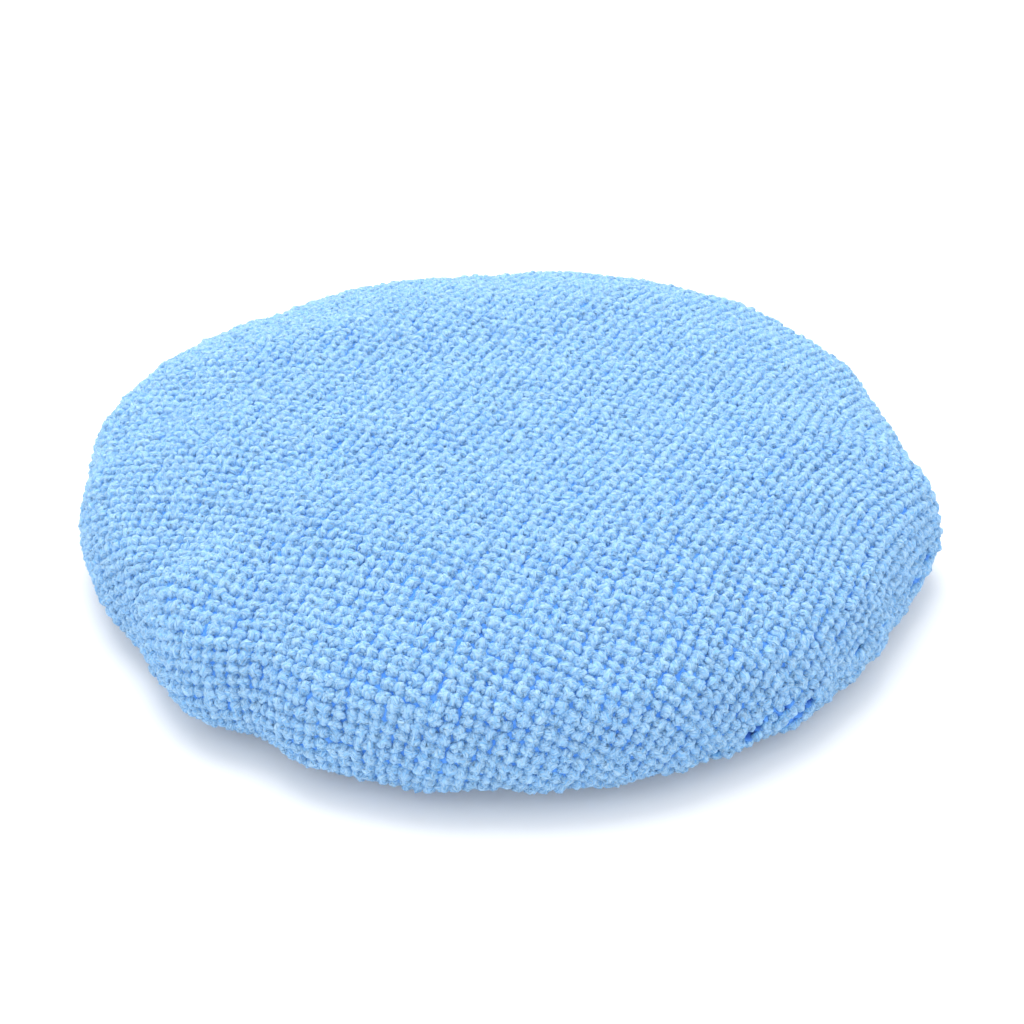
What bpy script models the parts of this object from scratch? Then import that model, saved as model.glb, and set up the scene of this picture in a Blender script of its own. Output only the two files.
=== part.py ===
"""A round foam polishing pad in a gathered microfibre terry cover.

The pad stands on its hem with the working face up. Units are metres and +Z is up. The origin is
the centre of the pad, on the surface that the hem stands on.
"""

import math

import bpy

# Driving dimensions.
PAD_RADIUS = 0.075
FACE_RADIUS = 0.0435
SHOULDER_RADIUS = 0.0675
SHOULDER_DROP = 0.0069
FOAM_THICKNESS = 0.020
CLOTH_THICKNESS = 0.0018
BINDING_THICKNESS = 0.0011
MOUTH_RADIUS = 0.052
HEM_WIDTH = 0.010
ELASTIC_WIDTH = 0.007
ELASTIC_THICKNESS = 0.0011
THREAD_RADIUS = 0.00025
BACKING_RADIUS = 0.048
BACKING_THICKNESS = 0.0014
GLUE_THICKNESS = 0.0004
CLEARANCE = 0.0003

# Heights in the hem, from the surface up: tape, cloth edge, elastic, its stitches, tape.
CLOTH_EDGE_Z = BINDING_THICKNESS + CLEARANCE
ELASTIC_Z = CLOTH_EDGE_Z + CLOTH_THICKNESS + CLEARANCE
JOIN_Z = ELASTIC_Z + ELASTIC_THICKNESS + CLEARANCE + THREAD_RADIUS
CHANNEL_TOP_Z = JOIN_Z + THREAD_RADIUS + CLEARANCE
HEM_HEIGHT = CHANNEL_TOP_Z + BINDING_THICKNESS
HEM_OUTER_RADIUS = MOUTH_RADIUS + HEM_WIDTH
CLOTH_EDGE_SETBACK = 0.0024
CLOTH_EDGE_RADIUS = MOUTH_RADIUS + BINDING_THICKNESS + CLOTH_EDGE_SETBACK

# Heights above the hem, and of the backing that hangs in its mouth.
FOAM_Z = HEM_HEIGHT + CLEARANCE
GLUE_Z = FOAM_Z - CLEARANCE - GLUE_THICKNESS
BACKING_Z = GLUE_Z - CLEARANCE - BACKING_THICKNESS
FOAM_TOP_Z = FOAM_Z + FOAM_THICKNESS
PAD_HEIGHT = FOAM_TOP_Z + CLEARANCE + CLOTH_THICKNESS

# The cover's outer face, between its driving dimensions. A setback is from the part's radius.
FACE_EASE = 0.0002
EASE_REACH = 0.0075
INNER_EASE_DROP = 0.0060
OUTER_EASE_RISE = 0.0100
RIM_Z = 0.0115
UPPER_RIM_SETBACK = 0.0026
UPPER_RIM_RISE = 0.0073
LOWER_RIM_SETBACKS = (0.0006, 0.0034, 0.0075)
LOWER_RIM_DROPS = (0.0039, 0.0071, 0.0091)
HEM_LEAD = 0.0012

# Rows of stitches that close the hem, and the grooves that they pull into the tape.
# Each row's inset is from the nearer edge of the tape.
INNER_STITCH_INSET = 0.0030
OUTER_STITCH_INSET = 0.0016
STITCH_RADII = {
    "hem_stitching_inner": MOUTH_RADIUS + INNER_STITCH_INSET,
    "hem_stitching_outer": HEM_OUTER_RADIUS - OUTER_STITCH_INSET,
}
STITCH_Z = 0.00035
GROOVE_RADIUS = 0.00055
JOIN_LENGTH = 0.009
JOIN_TURNS = 7
JOIN_WIDTH = 0.8 * ELASTIC_WIDTH

TURN_STEPS = 48
THREAD_SIDES = 6
POINTS_PER_SPAN = 2
MERGE_DISTANCE = 0.00001


def clear_scene():
    for obj in list(bpy.data.objects):
        bpy.data.objects.remove(obj, do_unlink=True)


def new_collection(name):
    collection = bpy.data.collections.new(name)
    bpy.context.scene.collection.children.link(collection)
    return collection


def material(name, colour, roughness, metallic=0.0):
    made = bpy.data.materials.new(name)
    made.use_nodes = True
    shader = made.node_tree.nodes["Principled BSDF"]
    shader.inputs["Base Color"].default_value = (*colour, 1.0)
    shader.inputs["Roughness"].default_value = roughness
    shader.inputs["Metallic"].default_value = metallic
    return made


def smooth_through(points, per_span=POINTS_PER_SPAN):
    """Points read from a Catmull-Rom curve through the given profile points."""
    padded = [points[0], *points, points[-1]]
    made = []
    for before, start, end, after in zip(padded, padded[1:], padded[2:], padded[3:]):
        for step in range(per_span):
            t = step / per_span
            made.append(
                tuple(
                    0.5 * (2 * b + (c - a) * t + (2 * a - 5 * b + 4 * c - d) * t**2
                           + (3 * b - a - 3 * c + d) * t**3)
                    for a, b, c, d in zip(before, start, end, after)
                )
            )
    return [*made, points[-1]]


def inset(profile, distance):
    """The profile moved inwards along its normals; its ends run along X."""
    moved = []
    for index, (x, z) in enumerate(profile):
        before = profile[max(index - 1, 0)]
        after = profile[min(index + 1, len(profile) - 1)]
        along_x = after[0] - before[0]
        along_z = after[1] - before[1]
        length = math.hypot(along_x, along_z)
        moved.append((max(x + distance * along_z / length, 0.0), z - distance * along_x / length))
    return moved


def arc(centre, radius, start_deg, end_deg, steps):
    turned_by = (end_deg - start_deg) / steps
    angles = [math.radians(start_deg + turned_by * step) for step in range(steps + 1)]
    return [(centre[0] + radius * math.cos(a), centre[1] + radius * math.sin(a)) for a in angles]


def turned(name, profile, look, collection, closed=False):
    """A body turned about Z. The profile runs down its outer side, at +X."""
    count = len(profile)
    edges = [(index, index + 1) for index in range(count - 1)]
    if closed:
        edges.append((count - 1, 0))
    mesh = bpy.data.meshes.new(name)
    mesh.from_pydata([(x, 0.0, z) for x, z in profile], edges, [])
    obj = bpy.data.objects.new(name, mesh)
    collection.objects.link(obj)
    screw = obj.modifiers.new("turn", "SCREW")
    screw.axis = "Z"
    screw.steps = TURN_STEPS
    screw.render_steps = TURN_STEPS
    screw.use_merge_vertices = True
    screw.merge_threshold = MERGE_DISTANCE
    screw.use_smooth_shade = True
    mesh.materials.append(look)
    return obj


def cover_profile():
    """The cloth's outer face: flat working face, soft shoulder, rim, then under to the hem."""
    slope = SHOULDER_DROP / (SHOULDER_RADIUS - FACE_RADIUS)
    shoulder_z = PAD_HEIGHT - SHOULDER_DROP
    shape = [
        (0.0, PAD_HEIGHT),
        (0.5 * FACE_RADIUS, PAD_HEIGHT),
        (FACE_RADIUS, PAD_HEIGHT - FACE_EASE),
        (FACE_RADIUS + EASE_REACH, PAD_HEIGHT - INNER_EASE_DROP * slope),
        (SHOULDER_RADIUS - EASE_REACH, shoulder_z + OUTER_EASE_RISE * slope),
        (SHOULDER_RADIUS, shoulder_z),
        (PAD_RADIUS - UPPER_RIM_SETBACK, RIM_Z + UPPER_RIM_RISE),
        (PAD_RADIUS, RIM_Z),
    ]
    for setback, drop in zip(LOWER_RIM_SETBACKS, LOWER_RIM_DROPS):
        shape.append((PAD_RADIUS - setback, RIM_Z - drop))
    shape.append((HEM_OUTER_RADIUS + HEM_LEAD, CLOTH_EDGE_Z))
    return [(min(x, PAD_RADIUS), min(z, PAD_HEIGHT)) for x, z in smooth_through(shape)]


def terry_cover(look, collection):
    """One round cut of terry cloth, drawn in under the foam. Its edge lies in the hem."""
    profile = [*cover_profile(), (CLOTH_EDGE_RADIUS, CLOTH_EDGE_Z)]
    cover = turned("terry_cover", profile, look, collection)
    shell = cover.modifiers.new("cloth thickness", "SOLIDIFY")
    shell.thickness = CLOTH_THICKNESS
    shell.offset = -1.0
    shell.use_even_offset = True
    return cover


def foam_core(look, collection):
    """A foam disc that fills the cover, cut flat on its underside."""
    outer = inset(cover_profile(), CLOTH_THICKNESS + CLEARANCE)
    kept = [point for point in outer if point[1] > FOAM_Z]
    above, below = kept[-1], outer[len(kept)]
    share = (above[1] - FOAM_Z) / (above[1] - below[1])
    edge_radius = above[0] + share * (below[0] - above[0]) - CLEARANCE
    return turned("foam_core", [*kept, (edge_radius, FOAM_Z), (0.0, FOAM_Z)], look, collection)


def groove(radius):
    """The notch that a row of stitches pulls into the tape's flat underside."""
    reach = math.degrees(math.asin(STITCH_Z / GROOVE_RADIUS))
    return arc((radius, STITCH_Z), GROOVE_RADIUS, -reach, 180 + reach, 4)


def hem_binding(look, collection):
    """Tape turned over the cloth's edge and the elastic. It is open towards the rim."""
    inner = MOUTH_RADIUS
    outer = HEM_OUTER_RADIUS
    wall = BINDING_THICKNESS
    fold = 2 * wall
    inside_fold = fold - wall
    profile = [(outer, HEM_HEIGHT), (outer, CHANNEL_TOP_Z)]
    profile += arc((inner + fold, CHANNEL_TOP_Z - inside_fold), inside_fold, 90, 180, 2)
    profile += arc((inner + fold, wall + inside_fold), inside_fold, 180, 270, 2)
    profile += [(outer, wall), (outer, 0.0)]
    for radius in sorted(STITCH_RADII.values(), reverse=True):
        profile += groove(radius)
    profile += arc((inner + fold, fold), fold, 270, 180, 3)
    profile += arc((inner + fold, HEM_HEIGHT - fold), fold, 180, 90, 3)
    return turned("hem_binding", profile, look, collection, closed=True)


def ring_section(inner, outer, low, high):
    return [(outer, high), (outer, low), (inner, low), (inner, high)]


def elastic_band(look, collection):
    """Flat woven elastic lying on the cloth's edge."""
    middle = MOUTH_RADIUS + 0.5 * HEM_WIDTH + CLEARANCE
    section = ring_section(
        middle - 0.5 * ELASTIC_WIDTH,
        middle + 0.5 * ELASTIC_WIDTH,
        ELASTIC_Z,
        ELASTIC_Z + ELASTIC_THICKNESS,
    )
    return turned("elastic_band", section, look, collection, closed=True)


def elastic_join_stitches(look, collection):
    """The zigzag that holds the elastic's lapped ends, at the back of the pad."""
    middle = MOUTH_RADIUS + 0.5 * HEM_WIDTH
    curve = bpy.data.curves.new("elastic_join_stitches", "CURVE")
    curve.dimensions = "3D"
    curve.bevel_depth = THREAD_RADIUS
    curve.bevel_resolution = 1
    curve.use_fill_caps = True
    spline = curve.splines.new("POLY")
    spline.points.add(JOIN_TURNS)
    for index, point in enumerate(spline.points):
        side = 1 if index % 2 else -1
        along = JOIN_LENGTH * (index / JOIN_TURNS - 0.5)
        point.co = (along, middle + 0.5 * side * JOIN_WIDTH, JOIN_Z, 1.0)
    curve.materials.append(look)
    obj = bpy.data.objects.new("elastic_join_stitches", curve)
    collection.objects.link(obj)
    return obj


def hem_stitching(name, radius, look, collection):
    """One row of stitches round the hem."""
    centre = (radius, STITCH_Z)
    section = arc(centre, THREAD_RADIUS, 90, 90 - 360 * (1 - 1 / THREAD_SIDES), THREAD_SIDES - 1)
    return turned(name, section, look, collection, closed=True)


def disc(name, radius, low, high, look, collection):
    return turned(name, [(0.0, high), (radius, high), (radius, low), (0.0, low)], look, collection)


def main():
    clear_scene()
    pad = new_collection("polishing_pad")

    terry = material("blue terry", (0.27, 0.56, 0.91), 0.95)
    tape = material("blue tape", (0.12, 0.36, 0.75), 0.85)
    elastic = material("white elastic", (0.80, 0.80, 0.78), 0.80)
    thread = material("blue thread", (0.10, 0.32, 0.72), 0.60)
    foam = material("white foam", (0.86, 0.86, 0.83), 0.95)
    glue = material("clear glue film", (0.78, 0.76, 0.66), 0.40)
    loops = material("grey loop fabric", (0.55, 0.57, 0.60), 0.90)

    terry_cover(terry, pad)
    foam_core(foam, pad)
    hem_binding(tape, pad)
    elastic_band(elastic, pad)
    elastic_join_stitches(thread, pad)
    for name, radius in STITCH_RADII.items():
        hem_stitching(name, radius, thread, pad)

    disc("glue_film", BACKING_RADIUS, GLUE_Z, GLUE_Z + GLUE_THICKNESS, glue, pad)
    disc("loop_backing", BACKING_RADIUS, BACKING_Z, BACKING_Z + BACKING_THICKNESS, loops, pad)


main()
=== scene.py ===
"""The looks of a foam polishing pad in a gathered microfibre terry cover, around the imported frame.

Lengths are in metres and angles in radians, except in the tables that say mm and degrees.
Azimuth 0 is +X.
"""

import math

import bpy
import numpy as np
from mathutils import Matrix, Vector


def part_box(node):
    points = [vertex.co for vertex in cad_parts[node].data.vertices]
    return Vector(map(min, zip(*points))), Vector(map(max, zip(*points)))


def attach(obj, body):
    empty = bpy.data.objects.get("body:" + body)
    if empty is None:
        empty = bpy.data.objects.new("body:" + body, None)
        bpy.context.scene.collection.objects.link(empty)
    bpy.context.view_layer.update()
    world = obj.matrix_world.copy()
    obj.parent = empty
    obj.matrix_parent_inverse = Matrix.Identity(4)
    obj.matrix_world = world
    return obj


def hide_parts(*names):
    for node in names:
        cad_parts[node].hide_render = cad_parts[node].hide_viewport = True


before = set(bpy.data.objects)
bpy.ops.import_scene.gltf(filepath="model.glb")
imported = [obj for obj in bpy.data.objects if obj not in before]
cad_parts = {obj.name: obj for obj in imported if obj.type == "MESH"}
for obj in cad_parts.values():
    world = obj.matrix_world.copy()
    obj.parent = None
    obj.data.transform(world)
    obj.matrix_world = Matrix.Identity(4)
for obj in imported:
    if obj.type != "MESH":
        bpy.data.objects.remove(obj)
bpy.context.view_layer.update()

MM = 0.001
TURN = 2 * math.pi
SEED = 7

# Sizes read from the frame.
COVER_LOW, COVER_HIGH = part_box("terry_cover")
HEM_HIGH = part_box("hem_binding")[1]
FOAM_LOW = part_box("foam_core")[0]
BACKING_LOW, BACKING_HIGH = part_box("loop_backing")
GLUE_LOW, GLUE_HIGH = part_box("glue_film")
ELASTIC_LOW, ELASTIC_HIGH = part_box("elastic_band")
INNER_ROW_LOW, INNER_ROW_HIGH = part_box("hem_stitching_inner")
OUTER_ROW_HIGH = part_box("hem_stitching_outer")[1]
RIM = COVER_HIGH.x
TOP = COVER_HIGH.z
HEM_RADIUS = HEM_HIGH.x
HEM_WIDTH = 10.0 * MM
MOUTH = HEM_RADIUS - HEM_WIDTH
ELASTIC_WIDTH = 7.0 * MM
THREAD_RADIUS = 0.5 * (INNER_ROW_HIGH.z - INNER_ROW_LOW.z)
STITCH_RADII = {
    "inner": INNER_ROW_HIGH.x - THREAD_RADIUS,
    "outer": OUTER_ROW_HIGH.x - THREAD_RADIUS,
}

# The terry cloth: a knitted ground with loops of yarn standing on it.
PILE = 1.5 * MM
GROUND_THICKNESS = 0.60 * MM
GROUND_RISE = 0.50 * MM
ROW_PITCH = 2.10 * MM
LINE_PITCH = 1.95 * MM
ROW_TURN = math.radians(-25)
LOOPS_PER_TUFT = 4
LOOP_STEPS = 8
YARN_SIDES = 6
PILE_PIECES = 16
GRID_RINGS = 260
GRID_SPOKES = 900


def smoothstep(values, low, high):
    t = np.clip((values - low) / (high - low), 0, 1)
    return t * t * (3 - 2 * t)


def bump(distance, width):
    return np.exp(-((distance / width) ** 2))


def unit(vectors):
    return vectors / np.maximum(np.linalg.norm(vectors, axis=-1), 1e-12)[..., None]


def curve_through(points, per_span=16):
    """A Catmull-Rom curve through points, as an array with one row for each point."""
    held = np.array([points[0], *points, points[-1]], float)
    t = np.linspace(0, 1, per_span, endpoint=False)[:, None]
    spans = []
    for a, b, c, d in zip(held, held[1:], held[2:], held[3:]):
        spans.append(0.5 * (2 * b + (c - a) * t + (2 * a - 5 * b + 4 * c - d) * t**2
                            + (3 * b - a - 3 * c + d) * t**3))
    return np.vstack([*spans, held[-1:]])


def turn_between(a, b):
    """The shortest turn from azimuth b to azimuth a."""
    return (a - b + math.pi) % TURN - math.pi


def ring_azimuths(count):
    return np.linspace(0, TURN, count, endpoint=False)


def around_z(radius, azimuth, height):
    """Points from cylindrical coordinates."""
    parts = np.broadcast_arrays(radius * np.cos(azimuth), radius * np.sin(azimuth), height)
    return np.stack(parts, axis=-1)


# ---------------------------------------------------------------- the cover's shape

def cover_profile():
    """Radius and height of the pile's roots, against distance along the cloth from its centre."""
    skin = curve_through([
        (0.0, TOP),
        (0.30 * RIM, TOP),
        (0.58 * RIM, TOP - 0.2 * MM),
        (0.68 * RIM, TOP - 1.4 * MM),
        (0.80 * RIM, TOP - 4.0 * MM),
        (0.90 * RIM, TOP - 6.9 * MM),
        (0.965 * RIM, TOP - 10.4 * MM),
        (RIM, TOP - 17.9 * MM),
        (0.998 * RIM, TOP - 22.6 * MM),
        (0.975 * RIM, TOP - 25.8 * MM),
        (0.920 * RIM, TOP - 27.5 * MM),
        (HEM_RADIUS + 0.5 * MM, COVER_LOW.z),
    ])
    along = unit(np.gradient(skin, axis=0))
    roots = skin + PILE * np.stack([along[:, 1], -along[:, 0]], axis=1)
    roots[:, 0] = np.maximum(roots[:, 0], 0)
    roots = np.vstack([roots, [(HEM_RADIUS - 5.5 * MM, COVER_LOW.z + PILE)]])
    steps = np.linalg.norm(np.diff(roots, axis=0), axis=1)
    return np.concatenate([[0], np.cumsum(steps)]), roots


PROFILE_LENGTH, PROFILE = cover_profile()
HALF_PROFILE = len(PROFILE) // 2
SKIRT = float(np.interp(-(HEM_RADIUS + 0.2 * MM), -PROFILE[HALF_PROFILE:, 0],
                        PROFILE_LENGTH[HALF_PROFILE:]))
EQUATOR = float(PROFILE_LENGTH[np.argmax(PROFILE[:, 0])])

# Where the rim stands out of round: azimuth in degrees, reach in mm, width in degrees.
RIM_LOBES = (
    (66, 4.8, 26), (112, 1.6, 20), (140, 1.3, 12), (158, 2.4, 15), (202, -1.3, 18),
    (238, 2.4, 18), (263, 3.0, 15), (288, 2.8, 18), (306, -0.8, 13), (334, -3.2, 17),
    (-7, 1.4, 5), (3, -1.8, 5), (10, -1.2, 9), (17, -2.2, 10), (157, -0.9, 5),
    (214, -2.2, 7), (228, 0.5, 4), (238, -2.2, 5),
)
# Soft dents and swellings of the face: azimuth in degrees, then radius, height and width in mm.
FACE_LUMPS = (
    (212, 59, -1.4, 9), (230, 57, -1.2, 9), (222, 67, 0.8, 7), (300, 40, 0.4, 14),
    (350, 55, -0.5, 8), (75, 50, 0.5, 13), (140, 45, 0.4, 14), (20, 50, -0.4, 9),
)
# Waves of slack in the cloth: wavelength and height in mm.
SLACK_WAVES = ((34, 0.30), (19, 0.16), (11, 0.10))
# Tucks in the cloth: azimuths of both ends in degrees, distances along the cloth in mm at both
# ends, depth and width in mm.
TUCKS = (
    (-66, -58, 88, 82.5, 1.5, 1.0), (-61.5, -55.5, 85.5, 79, 1.2, 1.0),
    (-57.5, -51.5, 84.5, 78, 1.2, 1.0), (-55, -45, 86.5, 79, 1.5, 1.0),
    (-42, -28, 81, 80, 1.1, 1.1), (-22, -6, 83, 81, 1.3, 1.4),
    (-84, -70, 93, 90, 1.4, 1.4), (-102, -88, 92, 91, 1.2, 1.4), (-121, -108, 93, 90, 1.4, 1.4),
)
PLEATS = 46
PLEAT_DEPTH = 1.4 * MM

# The foam: its gap to the cloth at the face, and how much more there is round the rim.
FOAM_GAP = 0.35 * MM
FOAM_RIM_GAP = 2.0 * MM

# The backing: how far its loops stand below the fabric, and how far apart they are.
LOOP_DEPTH = 0.85 * MM
LOOP_PITCH = 1.5 * MM


def rim_reach(azimuth):
    reach = np.zeros(np.shape(azimuth))
    for at, out, width in RIM_LOBES:
        reach += out * MM * bump(turn_between(azimuth, math.radians(at)), math.radians(width))
    return reach


def slack(rng, x, y):
    """Shallow waves that cross the whole cloth."""
    lift = np.zeros(x.shape)
    for wavelength, rise in SLACK_WAVES:
        for _ in range(5):
            turn, phase = rng.uniform(0, TURN, 2)
            along = x * math.cos(turn) + y * math.sin(turn)
            lift += rise * MM / 2 * np.sin(TURN * along / (wavelength * MM) + phase)
    return lift


def tucks(s, azimuth):
    """Creases with a raised lip on their lower side."""
    lift = np.zeros(np.broadcast_shapes(s.shape, azimuth.shape))
    for start, end, near, far, depth, width in TUCKS:
        share = turn_between(azimuth, math.radians(start)) / math.radians(end - start)
        taper = np.sin(np.pi * np.clip(share, 0, 1)) ** 0.7
        off = s - (near + (far - near) * share) * MM
        lift -= depth * MM * taper * bump(off, width * MM / 2)
        lift += 0.4 * depth * MM * taper * bump(off - 1.2 * width * MM, width * MM)
    return lift


def pleats(rng, s, azimuth):
    """Gathers that the elastic draws up between the rim and the hem."""
    phase = PLEATS * azimuth
    for turns in (2, 3, 5, 7):
        phase = phase + rng.uniform(0.5, 1.1) * np.sin(turns * azimuth + rng.uniform(0, 6))
    strength = 0.75 + 0.25 * np.sin(5 * azimuth + 1) * np.sin(3 * azimuth)
    drawn = smoothstep(s, EQUATOR - 2 * MM, SKIRT)
    drawn = drawn * (1 - smoothstep(s, SKIRT - 1 * MM, SKIRT + 2 * MM))
    return -PLEAT_DEPTH * strength * drawn * (1 - np.cos(phase)) / 2


def grid_normals(points):
    """Outward normals of a grid of rings by azimuths that closes on itself."""
    along = np.gradient(points, axis=0)
    around = np.roll(points, -1, axis=1) - np.roll(points, 1, axis=1)
    normals = np.cross(along, around)
    normals[0] = (0, 0, 1)
    return unit(normals)


GRID_LENGTHS = np.linspace(0, PROFILE_LENGTH[-1], GRID_RINGS)[:, None]


def cover_grid(folded):
    """Points of the pile's roots on a grid of distance along the cloth by azimuth."""
    rng = np.random.default_rng(SEED)
    s = GRID_LENGTHS
    azimuth = ring_azimuths(GRID_SPOKES)[None, :]
    radius = np.interp(s, PROFILE_LENGTH, PROFILE[:, 0])
    height = np.interp(s, PROFILE_LENGTH, PROFILE[:, 1])
    outer = smoothstep(radius / RIM, 0.55, 0.95)
    radius = radius + rim_reach(azimuth) * outer * (1 - smoothstep(s, EQUATOR, SKIRT))
    x, y = radius * np.cos(azimuth), radius * np.sin(azimuth)

    lift = slack(rng, x, y)
    if folded:
        lift += tucks(s, azimuth) + pleats(rng, s, azimuth)
    for at, out, rise, width in FACE_LUMPS:
        centre = math.radians(at)
        away = np.hypot(x - out * MM * math.cos(centre), y - out * MM * math.sin(centre))
        lift += rise * MM * bump(away, width * MM) * (s < EQUATOR)
    lift *= 1 - smoothstep(s, SKIRT - 1 * MM, SKIRT + 1 * MM)
    points = around_z(radius, azimuth, height)
    return points + grid_normals(points) * lift[..., None]


GRID = cover_grid(folded=True)
NORMALS = grid_normals(GRID)


def on_cover(u, v, values):
    """Grid values at the points (u, v) of the flat cloth, whose centre is (0, 0)."""
    ring = np.hypot(u, v) / PROFILE_LENGTH[-1] * (GRID_RINGS - 1)
    spoke = np.arctan2(v, u) % TURN / TURN * GRID_SPOKES
    ring = np.clip(ring, 0, GRID_RINGS - 1.001)
    low_ring, low_spoke = ring.astype(int), spoke.astype(int) % GRID_SPOKES
    next_spoke = (low_spoke + 1) % GRID_SPOKES
    across, turned = (ring - low_ring)[:, None], (spoke - spoke.astype(int))[:, None]
    inner = values[low_ring, low_spoke] * (1 - turned) + values[low_ring, next_spoke] * turned
    outer = (values[low_ring + 1, low_spoke] * (1 - turned)
             + values[low_ring + 1, next_spoke] * turned)
    return inner * (1 - across) + outer * across


# ---------------------------------------------------------------- mesh building

def add_mesh(name, points, faces, look):
    """A smooth-shaded mesh whose faces all have the same number of sides."""
    mesh = bpy.data.meshes.new(name)
    loops = np.asarray(faces, np.int32).reshape(-1)
    count, sides = np.shape(faces)
    mesh.vertices.add(len(points))
    mesh.vertices.foreach_set("co", np.asarray(points, np.float32).ravel())
    mesh.loops.add(len(loops))
    mesh.loops.foreach_set("vertex_index", loops)
    mesh.polygons.add(count)
    mesh.polygons.foreach_set("loop_start", np.arange(0, len(loops), sides, dtype=np.int32))
    mesh.polygons.foreach_set("use_smooth", np.ones(count, bool))
    mesh.update(calc_edges=True)
    mesh.materials.append(look)
    obj = bpy.data.objects.new(name, mesh)
    bpy.context.scene.collection.objects.link(obj)
    return obj


def creased(obj):
    """Keeps the edges of a turned piece crisp."""
    obj.data.set_sharp_from_angle(angle=math.radians(60))
    return obj


def point_values(obj, name, values, kind="FLOAT"):
    held = obj.data.attributes.new(name, kind, "POINT")
    key = "value" if kind == "FLOAT" else "vector"
    held.data.foreach_set(key, np.asarray(values, np.float32).ravel())


def triangles_of(quads):
    return np.vstack([quads[:, [0, 1, 2]], quads[:, [0, 2, 3]]])


def turned_quads(rings, spokes, closed=False):
    """Quads of a grid of rings by spokes. The last ring joins the first one if it is closed."""
    ring, spoke = np.meshgrid(np.arange(rings if closed else rings - 1), np.arange(spokes),
                              indexing="ij")
    next_ring, next_spoke = (ring + 1) % rings, (spoke + 1) % spokes
    quads = np.stack([ring * spokes + spoke, next_ring * spokes + spoke,
                      next_ring * spokes + next_spoke, ring * spokes + next_spoke], axis=-1)
    return quads.reshape(-1, 4)


def turned_solid(name, points, look):
    """A closed body from a grid that starts and ends on the axis, as one point each."""
    rings, spokes = points.shape[:2]
    body = points[1:-1].reshape(-1, 3)
    sides = triangles_of(turned_quads(rings - 2, spokes))
    spoke = np.arange(spokes)
    following = (spoke + 1) % spokes
    first, last = len(body), len(body) + 1
    low = (rings - 3) * spokes
    top = np.stack([np.full(spokes, first), spoke, following], axis=1)
    foot = np.stack([np.full(spokes, last), low + following, low + spoke], axis=1)
    ends = [points[0].mean(axis=0), points[-1].mean(axis=0)]
    return creased(add_mesh(name, np.vstack([body, ends]), np.vstack([top, sides, foot]), look))


def tubes(paths, lean, radii, sides, closed):
    """Tubes along many paths of equal steps, and the way out of the tube at each point.

    Lean is a direction that no path runs along. Open tubes have flat ends.
    """
    if closed:
        along = unit(np.roll(paths, -1, axis=1) - np.roll(paths, 1, axis=1))
    else:
        along = unit(np.gradient(paths, axis=1))
    side = unit(np.cross(along, lean))
    over = np.cross(side, along)
    turn = ring_azimuths(sides)[:, None]
    out = np.cos(turn) * over[:, :, None] + np.sin(turn) * side[:, :, None]
    points = paths[:, :, None] + radii[..., None, None] * out

    count, steps = paths.shape[:2]
    one = triangles_of(turned_quads(steps, sides, closed)[:, ::-1])
    if not closed:
        fan = np.arange(1, sides - 1)
        start = np.stack([0 * fan, fan + 1, fan], axis=1)
        one = np.vstack([one, start, start[:, ::-1] + (steps - 1) * sides])
    faces = (np.arange(count)[:, None, None] * steps * sides + one).reshape(-1, 3)
    return points.reshape(-1, 3), faces, out


# ---------------------------------------------------------------- materials

class Look:
    """A material, and short ways to add and link its nodes."""

    def __init__(self, name, roughness, **plain):
        self.material = bpy.data.materials.new(name)
        self.material.use_nodes = True
        self.tree = self.material.node_tree
        self.shader = self.tree.nodes["Principled BSDF"]
        self.shader.inputs["Roughness"].default_value = roughness
        for key, value in plain.items():
            self.shader.inputs[key.replace("_", " ")].default_value = value

    def set_input(self, socket, value):
        if isinstance(value, bpy.types.NodeSocket):
            self.tree.links.new(value, socket)
        else:
            socket.default_value = value

    def node(self, kind, **inputs):
        made = self.tree.nodes.new("ShaderNode" + kind)
        for key, value in inputs.items():
            if hasattr(made, key):
                setattr(made, key, value)
            else:
                self.set_input(made.inputs[key.replace("_", " ")], value)
        return made

    def link(self, output, name):
        self.tree.links.new(output, self.shader.inputs[name])

    def attribute(self, name):
        return self.node("Attribute", attribute_name=name)

    def place(self):
        return self.node("TexCoord").outputs["Object"]

    def maths(self, operation, a, b=0.0):
        made = self.node("Math", operation=operation)
        self.set_input(made.inputs[0], a)
        self.set_input(made.inputs[1], b)
        return made.outputs[0]

    def scaled(self, vector, by):
        made = self.node("VectorMath", operation="MULTIPLY")
        self.set_input(made.inputs[0], vector)
        self.set_input(made.inputs[1], by)
        return made.outputs[0]

    def noise(self, vector, scale, detail=2.0, roughness=0.5):
        made = self.node("TexNoise", Vector=vector, Scale=scale, Detail=detail,
                         Roughness=roughness)
        return made.outputs["Fac"]

    def ramp(self, value, stops):
        made = self.node("ValToRGB", Fac=value)
        elements = made.color_ramp.elements
        while len(elements) < len(stops):
            elements.new(0.5)
        for element, (at, colour) in zip(elements, stops):
            element.position = at
            element.color = (*colour, 1)
        return made.outputs["Color"]

    def mix(self, factor, a, b, blend="MIX"):
        made = self.node("Mix", data_type="RGBA", blend_type=blend)
        self.set_input(made.inputs[0], factor)
        self.set_input(made.inputs[6], a)
        self.set_input(made.inputs[7], b)
        return made.outputs[2]

    def bumps(self, *layers):
        """Adds bump layers, each (height, strength, distance), one on the next."""
        normal = None
        for height, strength, distance in layers:
            made = self.node("Bump", Height=height, Strength=strength, Distance=distance)
            if normal:
                self.tree.links.new(normal, made.inputs["Normal"])
            normal = made.outputs["Normal"]
        self.link(normal, "Normal")


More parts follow.
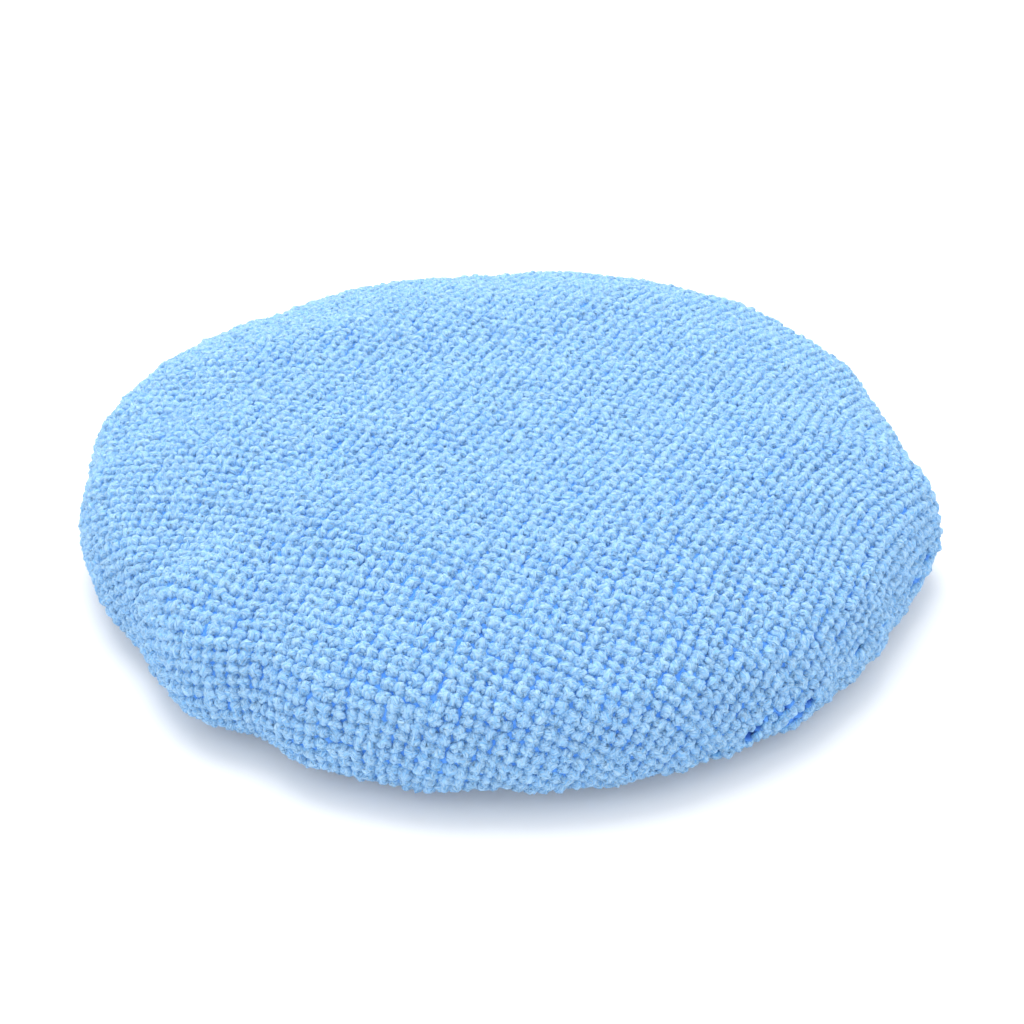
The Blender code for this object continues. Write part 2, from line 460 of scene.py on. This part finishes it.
def terry_look():
    """Microfibre yarn: soft strands along each loop. Its colour carries painted shade, bluer and
    deeper towards the roots, and painted highlights along the strands with painted shade between
    them.
    """
    look = Look("terry", 0.9, Sheen_Weight=0.12, Sheen_Roughness=0.45,
                Sheen_Tint=(0.70, 0.85, 1.0, 1.0), Specular_IOR_Level=0.2)
    strand = look.attribute("strand").outputs["Vector"]
    # Painted shade: the yarn's colour turns deeper and bluer down towards the roots, where the pile
    # shades itself.
    body = look.ramp(look.attribute("up").outputs["Fac"], [
        (0.10, (0.22, 0.56, 0.97)), (0.50, (0.345, 0.625, 0.96)), (1.0, (0.37, 0.63, 0.94))])
    shade = look.ramp(look.attribute("tint").outputs["Fac"], [
        (0.0, (0.93, 0.96, 0.99)), (1.0, (1.04, 1.02, 1.0))])
    strands = look.noise(strand, 1.0)
    fibres = look.noise(look.scaled(strand, (2.3, 2.3, 1.6)), 1.0, roughness=0.6)
    # Painted highlights along the strands and painted shade between them; the same noise also bumps
    # the strands.
    painted_strand_light = look.ramp(strands, [
        (0.36, (0.56, 0.79, 0.96)), (0.48, (0.96, 0.98, 1.0)), (0.62, (1.27, 1.13, 1.03))])
    colour = look.mix(1.0, body, shade, "MULTIPLY")
    look.link(look.mix(0.8, colour, look.mix(1.0, colour, painted_strand_light, "MULTIPLY")), "Base Color")
    look.bumps((strands, 1.0, 0.50 * MM), (fibres, 0.8, 0.14 * MM))
    return look.material


def ground_look():
    """The knit under the pile, painted a deeper blue than the loops as shade down between the tufts,
    and darker still inside the creases as painted shade.
    """
    look = Look("terry_ground", 0.95)
    knit = look.noise(look.place(), 1400.0)
    # Painted shade: a deeper blue than the loops, for the shade down between the tufts.
    face = look.ramp(knit, [(0.3, (0.06, 0.25, 0.79)), (0.7, (0.12, 0.36, 0.90))])
    # Painted shade: darker where the cloth is tucked in.
    painted_crease_shade = look.ramp(look.attribute("deep").outputs["Fac"], [
        (0.02, (1.0, 1.0, 1.0)), (0.35, (0.18, 0.32, 0.55))])
    look.link(look.mix(1.0, face, painted_crease_shade, "MULTIPLY"), "Base Color")
    look.bumps((knit, 0.8, 0.2 * MM))
    return look.material


def foam_look():
    """Open-cell foam: pale, with small pores painted darker as shade inside the cells."""
    look = Look("foam", 0.95)
    cells = look.node("TexVoronoi", Vector=look.place(), Scale=1500.0, Randomness=0.9)
    pores = look.noise(look.place(), 900.0, 3.0, 0.6)
    open_cell = look.maths("MULTIPLY", cells.outputs["Distance"], pores)
    # Painted shade: darker in the pores.
    look.link(look.ramp(open_cell, [(0.02, (0.60, 0.58, 0.53)), (0.08, (0.84, 0.83, 0.79)),
                                    (0.30, (0.93, 0.92, 0.89))]), "Base Color")
    look.bumps((open_cell, 1.0, 0.5 * MM))
    return look.material


def woven_look(name, dark, light, roughness, threads_round, threads_per_mm):
    """A plain weave that runs round Z. The attribute "across" measures the cloth's width in mm."""
    look = Look(name, roughness, Sheen_Weight=0.15, Sheen_Roughness=0.4)
    place = look.node("SeparateXYZ", Vector=look.place())
    azimuth = look.maths("ARCTAN2", place.outputs["Y"], place.outputs["X"])
    warp = look.maths("SINE", look.maths("MULTIPLY", azimuth, float(threads_round)))
    across = look.attribute("across").outputs["Fac"]
    weft = look.maths("SINE", look.maths("MULTIPLY", across, TURN * threads_per_mm))
    crossing = look.maths("MULTIPLY", look.maths("MULTIPLY", warp, weft), 0.35)
    fluff = look.maths("MULTIPLY", look.noise(look.place(), 3000.0, 2.0, 0.6), 0.5)
    height = look.maths("ADD", look.maths("ADD", crossing, fluff), 0.25)
    weave = look.ramp(height, [(0.15, dark), (0.85, light)])
    # Painted shade: darker where the ruching draws the cloth in.
    painted_fold_shade = look.ramp(look.attribute("fold").outputs["Fac"], [
        (0.0, (1.0, 1.0, 1.0)), (0.55, (0.80, 0.84, 0.90)), (1.0, (0.42, 0.50, 0.64))])
    look.link(look.mix(1.0, weave, painted_fold_shade, "MULTIPLY"), "Base Color")
    look.bumps((height, 0.8, 0.20 * MM))
    return look.material


def thread_look():
    """Twisted sewing thread with a slight gloss."""
    look = Look("thread", 0.55, Sheen_Weight=0.2)
    twist = look.noise(look.scaled(look.place(), (1.0, 1.0, 3.0)), 5200.0, 1.0)
    look.link(look.ramp(twist, [(0.35, (0.10, 0.34, 0.78)), (0.65, (0.30, 0.58, 0.94))]),
              "Base Color")
    look.bumps((twist, 0.8, 0.12 * MM))
    return look.material


def glue_look():
    """A thin dried film, amber where it is thicker."""
    look = Look("glue", 0.38, Coat_Weight=0.15)
    flow = look.noise(look.place(), 240.0, 3.0)
    look.link(look.ramp(flow, [(0.3, (0.70, 0.66, 0.50)), (0.7, (0.84, 0.82, 0.72))]), "Base Color")
    look.bumps((flow, 0.5, 0.3 * MM))
    return look.material


def backing_look(name, dark, light):
    """Brushed grey fabric that the backing plate's hooks grip, and its loops."""
    look = Look(name, 0.85, Sheen_Weight=0.3, Sheen_Roughness=0.4)
    tone = look.noise(look.place(), 420.0, 3.0, 0.6)
    fine = look.noise(look.place(), 4200.0, 1.0)
    colour = look.ramp(tone, [(0.3, dark), (0.7, light)])
    grain = look.ramp(fine, [(0.3, (0.80, 0.80, 0.82)), (0.7, (1.0, 1.0, 1.0))])
    look.link(look.mix(1.0, colour, grain, "MULTIPLY"), "Base Color")
    look.bumps((fine, 0.7, 0.12 * MM))
    return look.material


# ---------------------------------------------------------------- the terry cloth

def ground_cloth(look):
    """The knitted ground that the tufts stand on: a disc of cloth, gathered at its edge."""
    face = GRID + GROUND_RISE * NORMALS
    rings = face[1::3, ::3]
    points = np.vstack([rings.reshape(-1, 3), face[0, :1]])
    spokes = rings.shape[1]
    spoke = np.arange(spokes)
    centre = np.full(spokes, len(points) - 1)
    top = np.stack([centre, spoke, (spoke + 1) % spokes], axis=1)
    faces = np.vstack([top, triangles_of(turned_quads(len(rings), spokes))])
    cloth = add_mesh("terry_cloth", points, faces, look)
    # How deep the tucks are, from which the ground's look paints shade inside the creases.
    deep = np.clip(-tucks(GRID_LENGTHS, ring_azimuths(GRID_SPOKES)) / MM, 0, 1)[1::3, ::3]
    point_values(cloth, "deep", np.append(deep.ravel(), 0))
    shell = cloth.modifiers.new("thickness", "SOLIDIFY")
    shell.thickness = GROUND_THICKNESS
    shell.offset = -1
    return cloth


def tuft_lattice(rng):
    """Places of the tufts on the flat cloth: rows in a grid, each tuft a little out of place."""
    reach = int(1.1 * SKIRT / LINE_PITCH) + 2
    i, j = np.meshgrid(np.arange(-reach, reach + 1.0), np.arange(-reach, reach + 1.0))
    i, j = i.ravel(), j.ravel()
    along = i * ROW_PITCH + rng.normal(0, 0.07 * ROW_PITCH, len(i))
    across = j * LINE_PITCH + rng.normal(0, 0.06 * LINE_PITCH, len(i))
    across += 0.5 * MM * np.sin(along / (17 * MM) + 1) + 0.3 * MM * np.sin(along / (7 * MM))
    along += 0.5 * MM * np.sin(across / (13 * MM) + 2)
    u = along * math.cos(ROW_TURN) - across * math.sin(ROW_TURN)
    v = along * math.sin(ROW_TURN) + across * math.cos(ROW_TURN)
    inside = np.hypot(u, v) < SKIRT
    return u[inside], v[inside]


def cloth_axes(u, v):
    """The root, normal, row axis and line axis of the cloth at (u, v), and its stretch along both.

    The cloth is drawn together round the hem, so tufts there are squeezed.
    """
    step = 0.5 * MM
    root = on_cover(u, v, GRID)
    normal = unit(on_cover(u, v, NORMALS))
    ahead = on_cover(u + step * math.cos(ROW_TURN), v + step * math.sin(ROW_TURN), GRID) - root
    beside = on_cover(u - step * math.sin(ROW_TURN), v + step * math.cos(ROW_TURN), GRID) - root
    stretch = [np.clip(np.linalg.norm(d, axis=1) / step, 0.55, 1.15) for d in (ahead, beside)]
    row = unit(ahead - (ahead * normal).sum(axis=1)[:, None] * normal)
    return root, normal, row, np.cross(normal, row), stretch


def terry_loops(rng, u, v):
    """Loops of yarn, a few together, that make a tuft at each (u, v)."""
    tuft = np.repeat(np.arange(len(u)), LOOPS_PER_TUFT)
    which = np.tile(np.arange(LOOPS_PER_TUFT), len(u))
    count = len(tuft)
    root, normal, row, line, stretch = cloth_axes(u, v)
    size = rng.normal(1.09, 0.04, len(u))[tuft]
    first = math.pi / LOOPS_PER_TUFT + rng.normal(0, 0.12, len(u))
    corner = first[tuft] + which * TURN / LOOPS_PER_TUFT + rng.normal(0, 0.16, count)
    heading = corner + rng.normal(1.3, 0.45, count)
    steep = rng.uniform(0.40, 0.90, count)
    wide = rng.uniform(0.42, 0.52, count) * MM * size
    tall = rng.uniform(0.42, 0.52, count) * MM * size
    yarn = rng.uniform(0.46, 0.53, count) * MM * size
    warp = rng.uniform(-0.20, 0.20, count) * MM
    phase = rng.uniform(0, TURN, count)
    apart = rng.uniform(0.36, 0.48, count) * MM * size

    row, line, normal = row[tuft], line[tuft], normal[tuft]
    row_part = row * stretch[0][tuft][:, None]
    line_part = line * stretch[1][tuft][:, None]
    cos, sin = np.cos(heading)[:, None], np.sin(heading)[:, None]
    level = cos * row_part + sin * line_part
    climb = (np.cos(steep)[:, None] * (cos * line_part - sin * row_part)
             + np.sin(steep)[:, None] * normal)
    face = unit(np.cross(level, climb))
    rise = tall * np.sin(steep) + yarn - 0.30 * MM + rng.normal(0, 0.05 * MM, count)
    centre = (root[tuft] + rise[:, None] * normal
              + (apart * np.cos(corner))[:, None] * row_part
              + (apart * np.sin(corner))[:, None] * line_part)

    t = ring_azimuths(LOOP_STEPS)
    across = wide[:, None] * np.sin(t)
    upwards = -tall[:, None] * np.cos(t)
    sway = warp[:, None] * np.sin(2 * t + phase[:, None])
    paths = (centre[:, None] + across[..., None] * level[:, None]
             + upwards[..., None] * climb[:, None] + sway[..., None] * face[:, None])
    fat = yarn[:, None] * (1 - 0.10 * np.cos(t) + 0.07 * np.cos(2 * t + phase[:, None]))
    points, faces, out = tubes(paths, face[:, None], fat, YARN_SIDES, closed=True)
    lumps = rng.normal(0, 0.055 * MM, (count, LOOP_STEPS, YARN_SIDES, 1))
    points += (lumps * out).reshape(-1, 3)

    shape = (count, LOOP_STEPS, YARN_SIDES)
    twist = ring_azimuths(YARN_SIDES) + (rng.uniform(0.7, 1.5, count)[:, None] * t)[..., None]
    length = t[:, None] * 0.65 + (17 * phase)[:, None, None]
    strand = np.stack(np.broadcast_arrays(2.1 * np.cos(twist), 2.1 * np.sin(twist), length), -1)
    above = points.reshape(*shape, 3) - root[tuft][:, None, None]
    # Height above the root, from which the terry look paints shade deeper towards the roots.
    up = (above * normal[:, None, None]).sum(axis=-1) / (1.15 * PILE)
    tint = np.broadcast_to(rng.uniform(0, 1, len(u))[tuft][:, None, None], shape)
    return points, faces, strand, np.clip(up, 0, 1), tint


def terry_pile(look):
    """The pile, in rings from the centre out so that no piece is too heavy."""
    rng = np.random.default_rng(SEED)
    u, v = tuft_lattice(rng)
    order = np.argsort(np.hypot(u, v))
    made = []
    for number, part in enumerate(np.array_split(order, PILE_PIECES), 1):
        points, faces, strand, up, tint = terry_loops(rng, u[part], v[part])
        pile = add_mesh(f"terry_pile_{number:02d}", points, faces, look)
        point_values(pile, "strand", strand, "FLOAT_VECTOR")
        point_values(pile, "up", up)
        point_values(pile, "tint", tint)
        made.append(pile)
    return made


# ---------------------------------------------------------------- inside the cover

def foam(look):
    """The foam fills the cover, follows its inside, and is cut flat underneath."""
    gap = GROUND_THICKNESS - GROUND_RISE + FOAM_GAP
    gap = gap + FOAM_RIM_GAP * smoothstep(GRID_LENGTHS, EQUATOR - 14 * MM, EQUATOR - 3 * MM)
    smooth = cover_grid(folded=False)
    inside = (smooth - grid_normals(smooth) * gap[..., None])[::3, ::5]
    filled = (inside[:, :, 2] > FOAM_LOW.z).all(axis=1)
    sides = inside[:int(np.argmin(filled))]
    shares = np.array([0.99, 0.9, 0.75, 0.6, 0.45, 0.3, 0.15, 0.0])
    edge = sides[-1].copy()
    edge[:, 2] = FOAM_LOW.z
    cut = np.stack([edge * (share, share, 1) for share in shares])
    azimuth = ring_azimuths(edge.shape[0])
    cut[:-1, :, 2] += 0.10 * MM * (1 + np.sin(7 * azimuth + 9 * shares[:-1, None]))
    return turned_solid("foam", np.vstack([sides, edge[None], cut]), look)


def flat_disc(name, radius, low, high, look, ragged, rings=14, spokes=240):
    """A thin disc with a ragged cut edge and a slightly uneven face."""
    rng = np.random.default_rng(SEED + 1)
    azimuth = ring_azimuths(spokes)
    edge = radius - ragged * (1 + 0.4 * np.sin(9 * azimuth) + 0.3 * np.sin(23 * azimuth + 1)
                              + 0.3 * rng.uniform(-1, 1, spokes))
    shares = np.linspace(0, 1, rings)[:, None]
    ripple = 0.12 * (high - low) * np.sin(5 * azimuth + 11 * shares) * shares
    upper = around_z(shares * edge, azimuth, high - np.abs(ripple))
    lower = around_z(shares[::-1] * edge, azimuth, low + np.abs(ripple[::-1]))
    return turned_solid(name, np.vstack([upper, lower]), look)


def backing_loops(look):
    """Small loops that stand down from the backing for the plate's hooks to catch."""
    rng = np.random.default_rng(SEED + 2)
    radius = BACKING_HIGH.x - 0.8 * MM
    reach = int(radius / LOOP_PITCH) + 1
    i, j = np.meshgrid(np.arange(-reach, reach + 1.0), np.arange(-reach, reach + 1.0))
    x = ((i + 0.5 * (j % 2)) * LOOP_PITCH).ravel()
    y = (j * LOOP_PITCH * 0.9).ravel()
    x += rng.normal(0, 0.2 * LOOP_PITCH, len(x))
    y += rng.normal(0, 0.2 * LOOP_PITCH, len(x))
    kept = np.hypot(x, y) < radius
    x, y = x[kept], y[kept]
    count = len(x)
    heading = rng.normal(0.3, 0.6, count)
    lean = rng.normal(0.25, 0.3, count)
    t = np.linspace(0, math.pi, 7)
    along = 0.62 * MM * np.cos(t) * rng.uniform(0.8, 1.2, count)[:, None]
    drop = (0.86 * MM * np.sin(t)) * rng.uniform(0.75, 1.0, count)[:, None]
    sideways = drop * np.sin(lean)[:, None]
    cos, sin = np.cos(heading)[:, None], np.sin(heading)[:, None]
    paths = np.stack([x[:, None] + along * cos - sideways * sin,
                      y[:, None] + along * sin + sideways * cos,
                      BACKING_LOW.z + 0.98 * MM - drop * np.cos(lean)[:, None]], axis=-1)
    across = np.stack([-np.sin(heading), np.cos(heading), np.zeros(count)], axis=-1)[:, None]
    points, faces, _ = tubes(paths, across, np.full(along.shape, 0.15 * MM), 4, closed=False)
    return add_mesh("backing_loops", points, faces, look)


# ---------------------------------------------------------------- the hem

TAPE_THICKNESS = 0.6 * MM
TAPE_FOLD = 1.8 * MM
RUCHES = 104


def ruche(azimuth, across):
    """Share, 0 to 1, of the ruching that the elastic makes, across mm from the tape's edge."""
    bent = RUCHES * azimuth + 1.1 * np.sin(11 * azimuth) + 0.8 * np.sin(17 * azimuth + 2)
    fold = np.sin(bent + 0.5 * np.sin(across * 0.9 + 5 * azimuth))
    small = np.sin(2.4 * bent + 1.3 * across + 1)
    return 0.5 + 0.36 * fold + 0.14 * small


def tape_inset(azimuth, radius):
    """How far the tape's underside is drawn up: by the ruching, and more under each stitch row."""
    edge = (HEM_RADIUS - radius) / MM
    inset = 0.95 * MM * ruche(azimuth, edge)
    held = sum(bump(radius - row, 0.7 * MM) for row in STITCH_RADII.values())
    return inset * (1 - 0.6 * held) + 0.40 * MM * held


def hem_tape(look):
    """Tape turned over the cloth's edge and the elastic, ruched all round."""
    spokes = 560
    azimuth = ring_azimuths(spokes)
    turn = np.radians(np.linspace(0, 90, 6))
    low_fold = np.stack([MOUTH + TAPE_FOLD * (1 - np.sin(turn)), TAPE_FOLD * (1 - np.cos(turn))], 1)
    high_fold = low_fold[::-1] * (1, -1) + (0, HEM_HIGH.z)
    flat = np.linspace(HEM_RADIUS, MOUTH + TAPE_FOLD, 25)[:-1]
    lower = np.stack([flat, 0 * flat], axis=1)
    upper = np.stack([flat[::-1], 0 * flat + HEM_HIGH.z], axis=1)
    section = np.vstack([lower, low_fold, high_fold, upper])
    along = unit(np.gradient(section, axis=0))
    across = np.concatenate([[0], np.cumsum(np.linalg.norm(np.diff(section, axis=0), axis=1))])
    inward = np.stack([along[:, 1], -along[:, 0]], axis=1)
    inset = tape_inset(azimuth, section[:, :1])
    inset[section[:, 1] > 0.5 * HEM_HIGH.z] *= 0.6
    radius = section[:, :1] + inward[:, :1] * inset
    height = section[:, 1:] + inward[:, 1:] * inset
    points = around_z(radius, azimuth, height)
    tape = add_mesh("hem_tape", points.reshape(-1, 3), turned_quads(len(section), spokes), look)
    point_values(tape, "across", np.broadcast_to(across[:, None] / MM, radius.shape))
    # How far the ruching draws the tape in, from which its look paints shade in the folds.
    point_values(tape, "fold", inset / inset.max())
    creased(tape)
    shell = tape.modifiers.new("thickness", "SOLIDIFY")
    shell.thickness = TAPE_THICKNESS
    shell.offset = -1
    return tape


def stitch_row(name, radius, look):
    """Lock stitches in a row: each lies on the tape and dives into it at both ends."""
    length, gap = 2.3 * MM, 0.7 * MM
    count = round(TURN * radius / (length + gap))
    half = 0.5 * length / radius
    share = np.linspace(-1, 1, 9)
    azimuth = (TURN * np.arange(count) / count)[:, None] + half * share
    dive = 0.55 * MM * np.abs(share) ** 4
    wander = 0.08 * MM * np.sin(31 * azimuth[:, :1])
    height = tape_inset(azimuth, radius) - 0.10 * MM + dive
    paths = around_z(radius + wander, azimuth, height)
    thick = THREAD_RADIUS * (1 - 0.25 * share**6) * np.ones((count, 1))
    points, faces, _ = tubes(paths, np.array((0.0, 0.0, 1.0)), thick, 8, closed=False)
    return add_mesh(name, points, faces, look)


def elastic(look):
    """Flat woven elastic: cords run round it, and it ripples a little where it is slack."""
    spokes, turns = 480, 64
    azimuth = ring_azimuths(spokes)
    t = ring_azimuths(turns)[:, None]
    middle = 0.5 * (ELASTIC_LOW.z + ELASTIC_HIGH.z)
    centre = ELASTIC_HIGH.x - 0.5 * ELASTIC_WIDTH
    rounded = np.abs(np.cos(t)) ** 0.35 * np.sign(np.cos(t))
    thick = np.abs(np.sin(t)) ** 0.25 * np.sign(np.sin(t))
    cords = 0.86 + 0.14 * np.abs(np.sin(7 * math.pi * 0.5 * rounded))
    ripple = 0.05 * MM * np.sin(60 * azimuth)
    height = middle + ripple + 0.45 * (ELASTIC_HIGH.z - ELASTIC_LOW.z) * thick * cords
    radius = centre + 0.5 * ELASTIC_WIDTH * rounded
    points = around_z(radius, azimuth, height)
    faces = turned_quads(turns, spokes, closed=True)
    band = add_mesh("elastic", points.reshape(-1, 3), faces[:, ::-1], look)
    point_values(band, "across", np.broadcast_to(radius / MM, (turns, spokes)))
    return creased(band)


# ---------------------------------------------------------------- light and camera

def stage():
    """A pale floor, an even white world and two soft lamps."""
    bpy.ops.mesh.primitive_plane_add(size=8, location=(0, 0, 0))
    floor = bpy.context.object
    floor.name = "floor"
    look = Look("floor", 0.9)
    look.shader.inputs["Base Color"].default_value = (0.82, 0.82, 0.82, 1)
    look.shader.inputs["Emission Color"].default_value = (0.92, 0.96, 1.0, 1)
    look.shader.inputs["Emission Strength"].default_value = 0.12
    floor.data.materials.append(look.material)

    world = bpy.data.worlds.new("studio")
    world.use_nodes = True
    bpy.context.scene.world = world
    world.node_tree.nodes["Background"].inputs["Color"].default_value = (1, 1, 1, 1)
    world.node_tree.nodes["Background"].inputs["Strength"].default_value = 1.15
    for name, place, size, power in (
        ("overhead", (-0.10, 0.35, 0.9), 0.9, 6.9),
        ("front_left", (-0.8, -0.7, 0.7), 0.6, 0.8),
    ):
        light = bpy.data.lights.new(name, "AREA")
        light.shape = "DISK"
        light.size = size
        light.energy = power
        obj = bpy.data.objects.new(name, light)
        obj.location = place
        aim_at(obj, (0, 0, 0.01))
        bpy.context.scene.collection.objects.link(obj)


def aim_at(obj, target):
    ahead = Vector(target) - obj.location
    obj.rotation_euler = ahead.to_track_quat("-Z", "Y").to_euler()


def camera():
    """A long lens from the front, above the pad."""
    elevation = math.radians(30.4)
    distance = 0.480
    target = (0.0004, 0.0, 0.0092)
    lens = bpy.data.cameras.new("camera")
    lens.lens = 96.0
    lens.sensor_width = 36
    obj = bpy.data.objects.new("camera", lens)
    bpy.context.scene.collection.objects.link(obj)
    obj.location = (target[0], target[1] - distance * math.cos(elevation),
                    target[2] + distance * math.sin(elevation))
    aim_at(obj, target)
    bpy.context.scene.camera = obj


def placed(piece, slot, *stands_for):
    """Rides a piece on the pad's one body and hides the CAD nodes that it stands for. The slot is
    not used.
    """
    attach(piece, "root")
    if stands_for:
        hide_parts(*stands_for)
    return piece


def main():
    camera()
    stage()
    bpy.context.scene.view_settings.view_transform = "Standard"

    terry = terry_look()
    tape = woven_look("tape", (0.03, 0.17, 0.52), (0.13, 0.39, 0.81), 0.8, 420, 1.2)
    white = woven_look("elastic", (0.45, 0.45, 0.43), (0.86, 0.86, 0.84), 0.75, 520, 1.0)
    thread = thread_look()
    grey = backing_look("loop_fabric", (0.26, 0.28, 0.31), (0.40, 0.42, 0.45))
    pale_grey = backing_look("fabric_loops", (0.66, 0.68, 0.70), (0.86, 0.87, 0.88))

    cloth = placed(ground_cloth(ground_look()), "terry", "terry_cover")
    pile = [placed(piece, "terry") for piece in terry_pile(terry)]
    placed(foam(foam_look()), "foam", "foam_core")

    placed(hem_tape(tape), "binding_tape", "hem_binding")
    for row, radius in STITCH_RADII.items():
        placed(stitch_row("stitches_" + row, radius, thread), "thread", "hem_stitching_" + row)
    placed(elastic(white), "elastic", "elastic_band")
    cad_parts["elastic_join_stitches"].data.materials.clear()
    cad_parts["elastic_join_stitches"].data.materials.append(thread)

    glue = flat_disc("glue", GLUE_HIGH.x, GLUE_LOW.z, GLUE_HIGH.z, glue_look(), 0.35 * MM)
    placed(glue, "glue", "glue_film")
    fabric_low = BACKING_LOW.z + LOOP_DEPTH
    fabric = flat_disc("backing_fabric", BACKING_HIGH.x, fabric_low, BACKING_HIGH.z, grey,
                       0.12 * MM)
    placed(fabric, "loop_fabric", "loop_backing")
    placed(backing_loops(pale_grey), "loop_fabric")


main()
